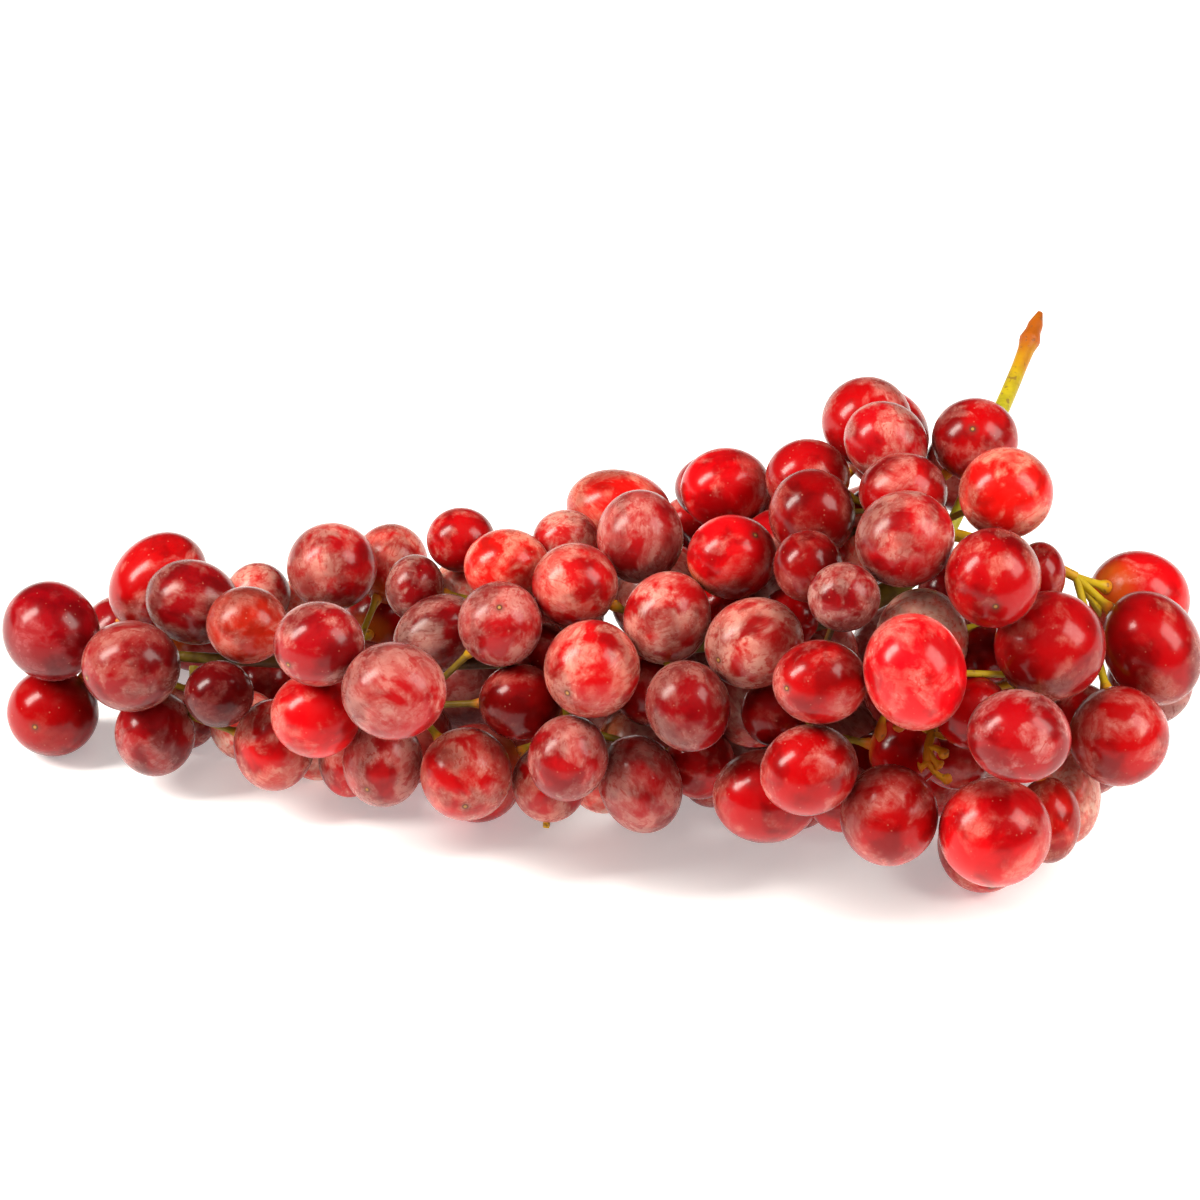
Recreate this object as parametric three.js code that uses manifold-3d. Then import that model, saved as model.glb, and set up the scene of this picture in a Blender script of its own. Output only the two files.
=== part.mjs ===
// A bunch of red table grapes, lying on its side, in millimetres.
// +X runs along the bunch from its tip to its stem end, +Z is up, and the ground is z = 0.
import * as THREE from "three";
import { mergeVertices } from "three/addons/utils/BufferGeometryUtils.js";
import Module from "manifold-3d";

const wasm = await Module();
wasm.setup();

// Real size of one pixel of the photograph, and the view that it was taken from.
const MM_PER_PIXEL = 0.2;
const VIEW_ELEVATION = THREE.MathUtils.degToRad(35);
const VIEW_DISTANCE = 1200;
const PICTURE_MIDDLE = 600;
const GROUND_ROW = 740;
const SHIFT = new THREE.Vector3(0.7, 18, 0);

// Cross-sections of the lying bunch: station along it, half its height, how far back its middle lies,
// and how far its underside is off the ground.
const SECTIONS = [
  [-112, 15.8, 2, 0],
  [-90, 21, 0, 0],
  [-64, 21, -7, 0],
  [-28, 27.9, -13, 0],
  [4, 32.3, -15, 0],
  [24, 35.1, -17, 0],
  [54, 43.5, -20, 0],
  [80, 43.5, -26, 0],
  [95, 28, -28, 6],
  [110, 20.9, -22, 12],
];
const WIDTH_TO_HEIGHT = 1.35;
const LEAST_ROOM = 4;

// Berries: clear space between two of them, how far one on the ground is pressed flat, and their facets.
// They are moved in depth from the nearest place by small steps until they fit.
const BERRY_GAP = 0.35;
const NEAREST_DEPTH = 100;
const OUTLINE_SHARE = 0.97;
const PRESSED_FLAT = 0.5;
const LAYER_STEP = 1.5;
const LET_DOWN = 2.1;
const SAG = 5;
const DEPTH_STEP = 0.4;
const BERRY_SEGMENTS = 8;
const BERRY_STACKS = 6;
const ROOT_DEPTH = 0.55;

// Berries as seen, from the nearest layer to the farthest: middle x, middle y, width, height in pixels,
// and the turn of the width in degrees.
const LAYERS = [
  [
    [131, 666, 101, 93, 0],
    [394, 691, 107, 100, 0],
    [319, 644, 93, 87, 0],
    [466, 774, 93, 95, 0],
    [500, 624, 86, 87, 0],
    [575, 585, 88, 86, 0],
    [592, 669, 98, 100, 0],
    [667, 618, 88, 96, -20],
    [820, 682, 97, 86, 0],
    [809, 770, 101, 92, 20],
    [905, 539, 102, 98, 25],
    [844, 597, 74, 71, 0],
    [915, 672, 104, 121, 15],
    [993, 578, 98, 102, 0],
    [1152, 648, 98, 120, 25],
    [1019, 736, 110, 98, -10],
    [995, 832, 115, 112, 0],
    [889, 815, 100, 104, 0],
  ],
  [
    [51, 631, 98, 103, 30],
    [247, 625, 83, 79, 0],
    [155, 733, 82, 88, 0],
    [219, 694, 71, 68, 0],
    [316, 715, 92, 88, 0],
    [332, 567, 92, 90, 0],
    [437, 634, 94, 76, 35],
    [507, 567, 88, 78, 0],
    [383, 762, 82, 92, 0],
    [640, 537, 88, 96, 0],
    [568, 758, 82, 88, -15],
    [688, 706, 86, 94, 20],
    [754, 643, 102, 92, 20],
    [766, 796, 108, 96, 0],
    [808, 566, 70, 74, 0],
    [903, 492, 90, 80, 0],
    [1006, 493, 99, 96, 0],
    [922, 640, 94, 106, 0],
    [1139, 598, 104, 96, -15],
    [1050, 646, 114, 112, 0],
  ],
  [
    [53, 712, 96, 93, 0],
    [193, 602, 98, 85, -20],
    [274, 745, 82, 94, 0],
    [415, 588, 60, 68, 0],
    [461, 540, 70, 66, 0],
    [566, 540, 68, 62, 0],
    [732, 557, 92, 86, 0],
    [640, 784, 84, 102, 20],
    [520, 702, 84, 78, 0],
    [812, 514, 88, 92, 0],
    [886, 442, 88, 80, -35],
    [975, 440, 88, 86, 0],
    [1119, 736, 102, 102, 0],
    [1048, 820, 66, 88, 0],
    [185, 717, 66, 66, 0],
    [349, 760, 62, 76, 0],
  ],
  [
    [158, 583, 112, 92, 50],
    [245, 725, 72, 72, 0],
    [391, 564, 76, 82, 0],
    [726, 489, 92, 84, 0],
    [619, 509, 108, 80, -10],
    [549, 783, 76, 80, 0],
    [700, 762, 70, 76, 0],
    [808, 478, 86, 80, 0],
    [867, 422, 92, 92, 0],
    [1068, 796, 66, 98, 0],
    [842, 797, 70, 72, 0],
    [1040, 575, 52, 68, 0],
  ],
  [
    [258, 595, 66, 66, 0],
    [660, 562, 80, 80, 0],
    [717, 488, 86, 70, 0],
    [122, 634, 82, 80, 0],
    [318, 746, 70, 70, 0],
    [604, 777, 74, 74, 0],
    [712, 776, 64, 64, 0],
    [775, 712, 70, 70, 0],
    [972, 712, 76, 76, 0],
    [462, 592, 66, 66, 0],
  ],
  [
    [268, 684, 70, 70, 0],
    [195, 634, 76, 76, 0],
    [650, 690, 74, 74, 0],
    [860, 548, 70, 70, 0],
    [905, 752, 74, 74, 0],
    [956, 752, 76, 76, 0],
    [880, 768, 74, 74, 0],
  ],
  [
    [378, 618, 70, 66, 0],
    [294, 608, 56, 56, 0],
    [690, 525, 62, 60, 0],
    [874, 514, 60, 56, 0],
    [948, 592, 62, 60, 0],
    [1082, 713, 60, 60, 0],
    [778, 512, 60, 60, 0],
    [986, 655, 62, 60, 0],
    [545, 652, 60, 60, 0],
    [724, 608, 60, 56, 0],
    [790, 617, 60, 60, 0],
  ],
];

// Places where the white ground shows through the bunch, in pixels.
const SEE_THROUGH = [
  [852, 481],
  [965, 525],
  [1103, 680],
  [1078, 592],
  [955, 549],
  [188, 676],
  [447, 572],
];

// Berries on the far side and underneath, laid on the skin of the bunch row by row.
const HIDDEN_SIZES = [9.4, 8.8, 9.9, 9.1, 10.2, 8.6];
const HIDDEN_STRETCH = 1.06;
const HIDDEN_LAYERS = [0, 4, 8, 18, -5];
const ROW_STEP = 2;
const TURN_STEP = THREE.MathUtils.degToRad(5);
const OUTLINE_SAMPLES = 12;
const OUTLINE_SLACK = 9;

// The main stem, from its cut end through the bunch to the tip: pixel, depth towards the viewer, radius.
const MAIN_STEM = [
  [1040, 313, 5, 1],
  [1034, 328, 7, 1.6],
  [1028, 344, 9, 2.1],
  [1019, 370, 13, 1.6],
  [1008, 404, 22, 1.7],
  [988, 448, 32, 1.7],
  [955, 487, 40, 1.7],
  [955, 512, 42, 1.8],
  [961, 541, 44, 2],
  [950, 590, 46, 2.2],
  [900, 620, 44, 2.2],
  [820, 635, 38, 2.1],
  [740, 645, 34, 2],
  [660, 650, 32, 1.9],
  [580, 655, 30, 1.8],
  [500, 662, 27, 1.7],
  [420, 668, 22, 1.5],
  [340, 672, 19, 1.4],
  [260, 665, 16, 1.2],
  [200, 658, 13, 1.1],
  [120, 652, 12, 0.9],
];
const STEM_STEPS = 45;
const STEM_SIDES = 6;

// The branch that carries the wing at the stem end, from the main stem outwards: pixel and depth.
const WING_BRANCH = [
  [961, 541, 44],
  [990, 530, 50],
  [1033, 540, 52],
  [1060, 558, 49],
  [1076, 577, 46],
];
const WING_STATION = 98;

// Branches: how many the main stem bears, the turn of the first round it and from one to the next,
// how far out they reach, how far off the main stem they begin, and their thickness and that of the
// berry stalks. A berry would rather hang from a place behind it than from one nearer the viewer.
const BRANCHES = 13;
const FIRST_TURN = THREE.MathUtils.degToRad(150);
const BRANCH_TURN = THREE.MathUtils.degToRad(137.5);
const BRANCH_START = 84;
const BRANCH_END = -96;
const BRANCH_REACH = 0.45;
const BRANCH_START_GAP = 0.95;
const FRONT_COST = 1;
const BRANCH_RADIUS = 1.1;
const BRANCH_STEPS = 4;
const WING_STEPS = 8;
const BRANCH_TRIES = 4;
const STALK_RADIUS = 0.7;
const STALK_SIDES = 4;
const BRANCH_SIDES = 5;
const STALK_STEPS = 4;
const STEM_GAP = 0.4;
const BEND_ROUNDS = 60;
const BEND_SLACK = 0.35;
const BEND_EASE = 0.25;
const GROUND_SIZE = 600;

const RIGHT = new THREE.Vector3(1, 0, 0);
const UP = new THREE.Vector3(0, Math.sin(VIEW_ELEVATION), Math.cos(VIEW_ELEVATION));
const TOWARD = new THREE.Vector3(0, -Math.cos(VIEW_ELEVATION), Math.sin(VIEW_ELEVATION));

// The point seen at a pixel, at a depth towards the viewer.
function spot(x, y, depth) {
  const shrink = 1 - depth / VIEW_DISTANCE;
  const middleHeight = (GROUND_ROW - PICTURE_MIDDLE) * MM_PER_PIXEL;
  return new THREE.Vector3()
    .addScaledVector(RIGHT, (x - PICTURE_MIDDLE) * MM_PER_PIXEL * shrink)
    .addScaledVector(UP, middleHeight + (PICTURE_MIDDLE - y) * MM_PER_PIXEL * shrink)
    .addScaledVector(TOWARD, depth)
    .add(SHIFT);
}

// The pixel and the depth at which a point is seen.
function seenAt(point) {
  const local = point.clone().sub(SHIFT);
  const middleHeight = (GROUND_ROW - PICTURE_MIDDLE) * MM_PER_PIXEL;
  const depth = local.dot(TOWARD);
  const scale = MM_PER_PIXEL * (1 - depth / VIEW_DISTANCE);
  const x = PICTURE_MIDDLE + local.dot(RIGHT) / scale;
  const y = PICTURE_MIDDLE - (local.dot(UP) - middleHeight) / scale;
  return { x, y, depth, scale };
}

// Half the height of the bunch at a station, and the place of its middle there.
function section(station) {
  const last = SECTIONS.length - 1;
  let after = SECTIONS.findIndex((row) => row[0] > station);
  after = after < 0 ? last : Math.max(after, 1);
  const before = SECTIONS[after - 1];
  const share = THREE.MathUtils.clamp((station - before[0]) / (SECTIONS[after][0] - before[0]), 0, 1);
  const [, half, back, lift] = before.map((value, k) => value + share * (SECTIONS[after][k] - value));
  return { half, back, middle: half + lift };
}

// Under 1 where a berry of this radius, at this point, lies inside the skin of the bunch.
function fullness(point, radius) {
  const { half, back, middle } = section(point.x - SHIFT.x);
  const across = (point.y - SHIFT.y - back) / Math.max(half * WIDTH_TO_HEIGHT - radius, LEAST_ROOM);
  const upward = (point.z - middle) / Math.max(half - radius, LEAST_ROOM);
  return across * across + upward * upward;
}

// How far a berry reaches from its centre in a direction.
function reach(berry, direction) {
  let sum = 0;
  berry.axes.forEach((axis, k) => {
    sum += (berry.half[k] * axis.dot(direction)) ** 2;
  });
  return Math.sqrt(sum);
}

function spaceBetween(a, b) {
  const between = b.centre.clone().sub(a.centre);
  const distance = between.length();
  between.divideScalar(distance || 1);
  return distance - reach(a, between) - reach(b, between);
}

function touchesAny(berry, others) {
  return others.some((other) => spaceBetween(berry, other) < BERRY_GAP);
}

function lowestHeight(berry) {
  return reach(berry, new THREE.Vector3(0, 0, 1)) - PRESSED_FLAT;
}

// A seen berry at a trial depth: its width and height are those in the picture.
function setDepth(berry, depth) {
  const shrink = 1 - depth / VIEW_DISTANCE;
  berry.depth = depth;
  berry.centre = spot(berry.x, berry.y, depth);
  const wide = (berry.width / 2) * OUTLINE_SHARE * MM_PER_PIXEL * shrink;
  const high = (berry.height / 2) * OUTLINE_SHARE * MM_PER_PIXEL * shrink;
  berry.half = [wide, high, (wide + high) / 2];
}

function seenBerry([x, y, width, height, turn], layer) {
  const angle = THREE.MathUtils.degToRad(turn);
  const along = RIGHT.clone().multiplyScalar(Math.cos(angle)).addScaledVector(UP, Math.sin(angle));
  const aside = UP.clone().multiplyScalar(Math.cos(angle)).addScaledVector(RIGHT, -Math.sin(angle));
  const berry = { x, y, width, height, layer, axes: [along, aside, TOWARD] };
  let best = Infinity;
  for (let trial = NEAREST_DEPTH; trial > -NEAREST_DEPTH; trial -= DEPTH_STEP) {
    setDepth(berry, trial);
    const value = fullness(berry.centre, berry.half[2]);
    if (value < best) {
      best = value;
      berry.skinDepth = trial;
    }
    if (value < 1) break;
  }
  setDepth(berry, berry.skinDepth - layer * LAYER_STEP);
  if (berry.centre.z < LET_DOWN * berry.half[2]) {
    while (berry.centre.z > lowestHeight(berry)) setDepth(berry, berry.depth - DEPTH_STEP);
  }
  return berry;
}

// Each seen berry lies on the skin of the bunch, behind those that hide it and above the ground.
function seenBerries() {
  const berries = LAYERS.flatMap((rows, layer) => rows.map((row) => seenBerry(row, layer)));
  berries.forEach((berry, index) => {
    const nearer = berries.slice(0, index);
    while (touchesAny(berry, nearer)) setDepth(berry, berry.depth - DEPTH_STEP);
  });
  for (let index = berries.length - 1; index >= 0; index -= 1) {
    const berry = berries[index];
    const farther = berries.slice(index + 1);
    while (berry.centre.z < lowestHeight(berry) || touchesAny(berry, farther)) {
      setDepth(berry, berry.depth + DEPTH_STEP);
    }
  }
  return berries;
}

// Whether a seen berry that is nearer covers this pixel.
function coveredAt(x, y, depth, berries) {
  return berries.some((berry) => {
    const angle = Math.atan2(berry.axes[0].dot(UP), berry.axes[0].dot(RIGHT));
    const dx = x - berry.x;
    const dy = berry.y - y;
    const along = dx * Math.cos(angle) + dy * Math.sin(angle);
    const aside = dy * Math.cos(angle) - dx * Math.sin(angle);
    const wide = berry.width / 2 + OUTLINE_SLACK;
    const high = berry.height / 2 + OUTLINE_SLACK;
    return berry.depth > depth && (along / wide) ** 2 + (aside / high) ** 2 < 1;
  });
}

// A far berry stays out of the picture: its outline is behind nearer berries and off the white gaps.
function staysHidden(berry, seen) {
  const { x, y, depth, scale } = seenAt(berry.centre);
  const radius = berry.half[0] / scale;
  if (SEE_THROUGH.some(([gapX, gapY]) => Math.hypot(gapX - x, gapY - y) < radius)) return false;
  let open = 0;
  for (let sample = 0; sample < OUTLINE_SAMPLES; sample += 1) {
    const angle = (sample / OUTLINE_SAMPLES) * 2 * Math.PI;
    const edgeX = x + Math.cos(angle) * radius;
    const edgeY = y + Math.sin(angle) * radius;
    if (!coveredAt(edgeX, edgeY, depth, seen)) open += 1;
  }
  return open === 0;
}

// Nearest distance from a point to a stretch of stem.
function distanceToLimb(point, limb) {
  const line = new THREE.Line3(limb.from, limb.to);
  const nearest = line.closestPointToPoint(point, true, new THREE.Vector3());
  return { distance: nearest.distanceTo(point), nearest };
}

function clearOfLimb(berry, limb) {
  const { distance, nearest } = distanceToLimb(berry.centre, limb);
  const away = nearest.sub(berry.centre).normalize();
  return distance > reach(berry, away) + limb.radius + BERRY_GAP;
}

// Rows of berries laid on the skin from the tip to the stem end, each as near its neighbours as it fits.
function hiddenBerries(seen, limbs) {
  const hidden = [];
  const first = SECTIONS[0][0];
  const last = SECTIONS[SECTIONS.length - 1][0];
  for (const inset of HIDDEN_LAYERS) {
    for (let station = first; station <= last; station += ROW_STEP) {
      for (let turn = 0; turn < 2 * Math.PI; turn += TURN_STEP) {
        const size = HIDDEN_SIZES[hidden.length % HIDDEN_SIZES.length];
        const { half, back, middle } = section(station);
        const across = half * WIDTH_TO_HEIGHT - size - inset;
        const upward = half - size - inset;
        if (upward < 0) continue;
        const centre = new THREE.Vector3(
          station,
          back + across * Math.cos(turn),
          middle + upward * Math.sin(turn),
        ).add(SHIFT);
        const outward = new THREE.Vector3(0, Math.cos(turn), Math.sin(turn)).normalize();
        const around = new THREE.Vector3(0, -outward.z, outward.y);
        const berry = { centre, half: [size * HIDDEN_STRETCH, size, size], axes: [outward, around, RIGHT] };
        if (centre.z < lowestHeight(berry) + SAG) centre.z = lowestHeight(berry);
        if (touchesAny(berry, seen) || touchesAny(berry, hidden)) continue;
        if (!limbs.every((limb) => clearOfLimb(berry, limb))) continue;
        if (staysHidden(berry, seen)) hidden.push(berry);
      }
    }
  }
  return hidden;
}

// Bends a route sideways, out of the way of the berries in its path, and keeps its two ends.
function bendClear(points, clearance, berries) {
  for (let round = 0; round < BEND_ROUNDS; round += 1) {
    for (let k = 1; k < points.length - 1; k += 1) {
      const point = points[k];
      const middle = points[k - 1].clone().lerp(points[k + 1], 0.5);
      point.lerp(middle, BEND_EASE);
      for (const berry of berries) {
        const away = point.clone().sub(berry.centre);
        const distance = away.length();
        away.divideScalar(distance || 1);
        const short = reach(berry, away) + clearance - distance;
        if (short > 0) point.addScaledVector(away, short);
      }
      point.z = Math.max(point.z, clearance);
    }
  }
  return points;
}

function limbsAlong(points, radii) {
  return points.slice(1).map((to, k) => ({
    from: points[k],
    to,
    radius: Math.max(radii[k], radii[k + 1]),
    radii: [radii[k], radii[k + 1]],
  }));
}

// The route of the main stem winds between the seen berries.
function mainStem(seen) {
  const curve = new THREE.CatmullRomCurve3(MAIN_STEM.map(([x, y, depth]) => spot(x, y, depth)));
  const points = curve.getPoints(STEM_STEPS);
  const widest = Math.max(...MAIN_STEM.map((row) => row[3]));
  bendClear(points, widest + BEND_SLACK, seen);
  const radii = points.map((_, k) => {
    const place = (k / STEM_STEPS) * (MAIN_STEM.length - 1);
    const row = Math.min(Math.floor(place), MAIN_STEM.length - 2);
    return MAIN_STEM[row][3] + (place - row) * (MAIN_STEM[row + 1][3] - MAIN_STEM[row][3]);
  });
  return { route: points, radii, limbs: limbsAlong(points, radii) };
}

// The place on the main stem that is nearest to a point.
function nearestOnStem(point, stem) {
  let best = { distance: Infinity };
  stem.forEach((limb) => {
    const found = distanceToLimb(point, limb);
    if (found.distance < best.distance) best = { ...found, radius: limb.radius };
  });
  return best;
}

// Branches turn round the main stem from its cut end to the tip, and the last one carries the wing.
function branchRoutes(stem) {
  const routes = [];
  for (let k = 0; k < BRANCHES; k += 1) {
    const station = BRANCH_START + ((BRANCH_END - BRANCH_START) * k) / (BRANCHES - 1);
    const { half, back, middle } = section(station);
    const turn = FIRST_TURN + k * BRANCH_TURN;
    const end = new THREE.Vector3(
      station,
      back + half * WIDTH_TO_HEIGHT * BRANCH_REACH * Math.cos(turn),
      middle + half * BRANCH_REACH * Math.sin(turn),
    ).add(SHIFT);
    const root = nearestOnStem(end, stem);
    const outward = end.clone().sub(root.nearest).normalize();
    const start = root.nearest.addScaledVector(outward, root.radius + BRANCH_START_GAP);
    const route = [];
    for (let step = 0; step <= BRANCH_STEPS; step += 1) {
      route.push(start.clone().lerp(end, step / BRANCH_STEPS));
    }
    routes.push(route);
  }
  const wing = new THREE.CatmullRomCurve3(WING_BRANCH.map(([x, y, depth]) => spot(x, y, depth)));
  const route = wing.getPoints(WING_STEPS);
  const root = nearestOnStem(route[0], stem);
  const outward = route[1].clone().sub(root.nearest).normalize();
  route[0] = root.nearest.addScaledVector(outward, root.radius + BRANCH_START_GAP);
  routes.push(route);
  return routes;
}

// What it costs a berry to hang from a place: its distance, and more where it is nearer the viewer.
function hangingCost(foot, berry) {
  const way = foot.clone().sub(berry.centre);
  return way.length() + FRONT_COST * Math.max(0, way.dot(TOWARD));
}

// Each berry belongs to the branch with the cheapest end, and the wing holds what is past its station.
function assignSprays(berries, routes) {
  const wing = routes.length - 1;
  for (const berry of berries) {
    let best = Infinity;
    routes.forEach((route, k) => {
      if (k === wing) return;
      const cost = hangingCost(route[route.length - 1], berry);
      if (cost < best) {
        best = cost;
        berry.spray = k;
      }
    });
    if (berry.centre.x - SHIFT.x > WING_STATION) berry.spray = wing;
    berry.home = berry.spray;
  }
}

function limbsApart(limb, other) {
  const length = limb.from.distanceTo(limb.to);
  const samples = Math.max(2, Math.ceil(length));
  for (let k = 0; k <= samples; k += 1) {
    const point = limb.from.clone().lerp(limb.to, k / samples);
    if (distanceToLimb(point, other).distance < limb.radius + other.radius + STEM_GAP) return false;
  }
  return true;
}

function limbsClear(limbs, berries, others) {
  return limbs.every(
    (limb) =>
      berries.every((berry) => clearOfLimb(berry, limb)) &&
      others.every((other) => limbsApart(limb, other)),
  );
}

// A stalk from its branch into a berry: straight where the way is free, else bent round what is there.
function stalkFor(berry, branch, berries, others) {
  const foots = [...branch].sort((a, b) => hangingCost(a, berry) - hangingCost(b, berry));
  for (const bent of [false, true]) {
    for (const foot of foots) {
      const inward = foot.clone().sub(berry.centre).normalize();
      const root = berry.centre.clone().addScaledVector(inward, reach(berry, inward) * (1 - ROOT_DEPTH));
      let points = [foot.clone(), root];
      if (bent) {
        points = Array.from({ length: STALK_STEPS + 1 }, (_, k) => foot.clone().lerp(root, k / STALK_STEPS));
        bendClear(points, STALK_RADIUS + BEND_SLACK + BERRY_GAP, berries);
      }
      const radii = points.map(() => STALK_RADIUS);
      const limbs = limbsAlong(points, radii);
      if (limbsClear(limbs, berries, others)) return { route: points, radii, limbs };
    }
  }
  return null;
}

// Gives a berry a stalk from the cheapest branch that has a free way to it.
function growStalk(berry, berries, branches, stemLimbs) {
  const order = branches.map((branch, k) => ({ k, end: branch.route[branch.route.length - 1] }));
  const rank = ({ k, end }) => (k === berry.home ? 0 : hangingCost(end, berry));
  order.sort((a, b) => rank(a) - rank(b));
  for (const { k } of order.slice(0, BRANCH_TRIES)) {
    berry.spray = k;
    const foreign = berries.filter((other) => other.spray !== k);
    const otherStems = [
      ...stemLimbs,
      ...branches.filter((_, other) => other !== k).flatMap((branch) => branch.limbs),
      ...foreign.flatMap((other) => other.stalk?.limbs ?? []),
    ];
    const inTheWay = otherStems.some((limb) => !clearOfLimb(berry, limb));
    berry.stalk = inTheWay ? null : stalkFor(berry, branches[k].route, foreign, otherStems);
    if (berry.stalk) return true;
  }
  return false;
}

function solidOf(geometry) {
  geometry.deleteAttribute("normal");
  geometry.deleteAttribute("uv");
  const merged = mergeVertices(geometry, 1e-5);
  return new wasm.Manifold(
    new wasm.Mesh({
      numProp: 3,
      vertProperties: new Float32Array(merged.attributes.position.array),
      triVerts: new Uint32Array(merged.index.array),
    }),
  );
}

function joined(solids) {
  return solids.reduce((whole, solid) => whole.add(solid));
}

// Fills any void that is closed in where stalks meet.
function filled(solid) {
  return wasm.Manifold.compose(solid.decompose().filter((body) => body.volume() > 0));
}

// An egg-round berry with a few facets, one corner pointing straight down.
function berrySolid(berry) {
  const geometry = new THREE.SphereGeometry(1, BERRY_SEGMENTS, BERRY_STACKS);
  geometry.rotateX(Math.PI / 2);
  const corners = geometry.attributes.position;
  const corner = new THREE.Vector3();
  for (let k = 0; k < corners.count; k += 1) {
    corner.fromBufferAttribute(corners, k);
    const placed = berry.centre.clone();
    berry.axes.forEach((axis, j) => placed.addScaledVector(axis, berry.half[j] * axis.dot(corner)));
    corners.setXYZ(k, placed.x, placed.y, placed.z);
  }
  return solidOf(geometry);
}

// A stem swept along a route, with a flat cut at each end.
function stemSolid(route, radii, sides) {
  const steps = route.length - 1;
  const curve = new THREE.CatmullRomCurve3(route);
  const frames = curve.computeFrenetFrames(steps);
  const corners = [];
  const faces = [];
  for (let k = 0; k <= steps; k += 1) {
    const middle = curve.getPointAt(k / steps);
    for (let side = 0; side < sides; side += 1) {
      const turn = (side / sides) * 2 * Math.PI;
      const corner = middle
        .clone()
        .addScaledVector(frames.normals[k], radii[k] * Math.cos(turn))
        .addScaledVector(frames.binormals[k], radii[k] * Math.sin(turn));
      corners.push(...corner.toArray());
      if (k === steps) continue;
      const next = (side + 1) % sides;
      const here = k * sides;
      faces.push(here + side, here + next, here + sides + next);
      faces.push(here + side, here + sides + next, here + sides + side);
    }
  }
  for (let side = 1; side < sides - 1; side += 1) {
    const last = steps * sides;
    faces.push(0, side + 1, side, last, last + side, last + side + 1);
  }
  const geometry = new THREE.BufferGeometry();
  geometry.setAttribute("position", new THREE.Float32BufferAttribute(corners, 3));
  geometry.setIndex(faces);
  return solidOf(geometry);
}

function ground() {
  const box = new THREE.BoxGeometry(GROUND_SIZE, GROUND_SIZE, GROUND_SIZE);
  box.translate(0, 0, -GROUND_SIZE / 2);
  return solidOf(box);
}

function node(name, solid, material) {
  const { vertProperties, triVerts } = solid.getMesh();
  const geometry = new THREE.BufferGeometry();
  geometry.setAttribute("position", new THREE.BufferAttribute(vertProperties, 3));
  geometry.setIndex(new THREE.BufferAttribute(triVerts, 1));
  geometry.computeVertexNormals();
  const mesh = new THREE.Mesh(geometry, material);
  mesh.name = name;
  return mesh;
}

const seen = seenBerries();
const stem = mainStem(seen);
const hidden = hiddenBerries(seen, stem.limbs);
const berries = [...seen, ...hidden];
const routes = branchRoutes(stem.limbs);
assignSprays(berries, routes);
const branches = routes.map((route, k) => {
  const foreign = berries.filter((berry) => berry.spray !== k);
  bendClear(route, BRANCH_RADIUS + BEND_SLACK + BERRY_GAP, foreign);
  const radii = route.map(() => BRANCH_RADIUS);
  return { route, radii, limbs: limbsAlong(route, radii) };
});
const grown = berries.filter((berry) => growStalk(berry, berries, branches, stem.limbs));

const stemMaterial = new THREE.MeshStandardMaterial({ color: 0xb7952c, roughness: 0.6, metalness: 0 });
const berryMaterial = new THREE.MeshStandardMaterial({ color: 0xa81622, roughness: 0.35, metalness: 0 });
const bunch = new THREE.Group();
bunch.add(node("main_stem", stemSolid(stem.route, stem.radii, STEM_SIDES), stemMaterial));
branches.forEach((branch, k) => {
  const own = grown.filter((berry) => berry.spray === k);
  const solid = joined([
    stemSolid(branch.route, branch.radii, BRANCH_SIDES),
    ...own.map(berrySolid),
    ...own.map(({ stalk }) => stemSolid(stalk.route, stalk.radii, STALK_SIDES)),
  ]).subtract(ground());
  const name = k === branches.length - 1 ? "wing_spray" : `spray_${String(k + 1).padStart(2, "0")}`;
  bunch.add(node(name, filled(solid), berryMaterial));
});

export default bunch;
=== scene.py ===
import math

import bpy
import numpy as np
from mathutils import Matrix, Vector


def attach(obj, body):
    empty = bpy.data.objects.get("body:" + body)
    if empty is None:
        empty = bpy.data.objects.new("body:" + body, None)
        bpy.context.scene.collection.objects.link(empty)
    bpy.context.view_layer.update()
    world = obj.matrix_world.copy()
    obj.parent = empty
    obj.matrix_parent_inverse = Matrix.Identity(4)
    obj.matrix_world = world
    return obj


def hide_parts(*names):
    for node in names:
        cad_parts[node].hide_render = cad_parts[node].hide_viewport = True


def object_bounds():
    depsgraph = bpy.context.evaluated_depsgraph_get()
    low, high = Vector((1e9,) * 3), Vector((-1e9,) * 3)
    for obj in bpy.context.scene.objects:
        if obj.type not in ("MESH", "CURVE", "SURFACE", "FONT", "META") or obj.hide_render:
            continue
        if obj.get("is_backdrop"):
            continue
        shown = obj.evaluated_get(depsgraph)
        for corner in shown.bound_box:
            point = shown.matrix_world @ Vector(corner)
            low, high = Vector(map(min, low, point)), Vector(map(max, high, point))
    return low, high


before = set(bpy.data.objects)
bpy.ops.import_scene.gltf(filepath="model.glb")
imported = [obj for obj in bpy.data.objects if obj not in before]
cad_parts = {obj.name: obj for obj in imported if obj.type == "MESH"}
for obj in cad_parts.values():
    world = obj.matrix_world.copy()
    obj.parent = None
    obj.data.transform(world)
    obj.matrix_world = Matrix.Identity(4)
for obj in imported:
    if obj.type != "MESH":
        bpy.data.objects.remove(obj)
box_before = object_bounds()
scene = bpy.context.scene


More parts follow.
